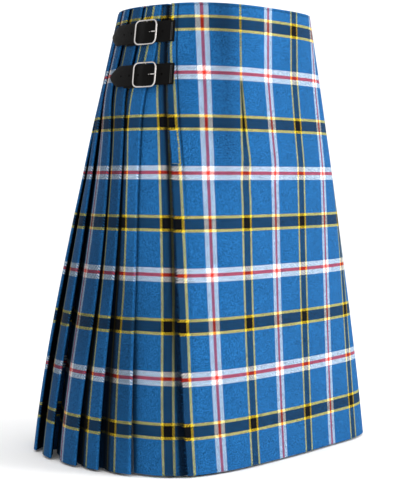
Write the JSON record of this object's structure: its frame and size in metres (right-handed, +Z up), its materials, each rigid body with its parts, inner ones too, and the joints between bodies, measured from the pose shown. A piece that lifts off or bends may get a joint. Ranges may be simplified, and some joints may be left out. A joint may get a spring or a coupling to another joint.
{
  "type": "scottish kilt",
  "caption": "Tartan wool kilt as worn: two flat aprons wrap the front, knife pleats run round the back, and leather straps with buckles close it at the side.",
  "frame": {"origin": "centre of the waist opening, at the height of the upper strap and buckle", "axes": "+Z up to the top edge, -Y to the front where the aprons lie, -X to the wearer's right where the two visible straps are"},
  "size_m": [0.5013, 0.3975, 0.6008],
  "materials": {
    "tartan_wool": "wool twill, blue tartan",
    "pleat_wool": "wool twill, blue tartan in pleats",
    "black_leather": "satin black",
    "chrome": "polished"
  },
  "bodies": {
    "root": {"over_apron": "tartan_wool", "fringe": "tartan_wool", "under_apron": "tartan_wool", "pleated_back": "pleat_wool", "waistband": "pleat_wool", "strap_upper": "black_leather", "tab_upper": "black_leather", "buckle_upper": "chrome", "prong_upper": "chrome", "strap_lower": "black_leather", "tab_lower": "black_leather", "buckle_lower": "chrome", "prong_lower": "chrome", "strap_left": "black_leather", "tab_left": "black_leather", "buckle_left": "chrome", "prong_left": "chrome"}
  },
  "joints": []
}
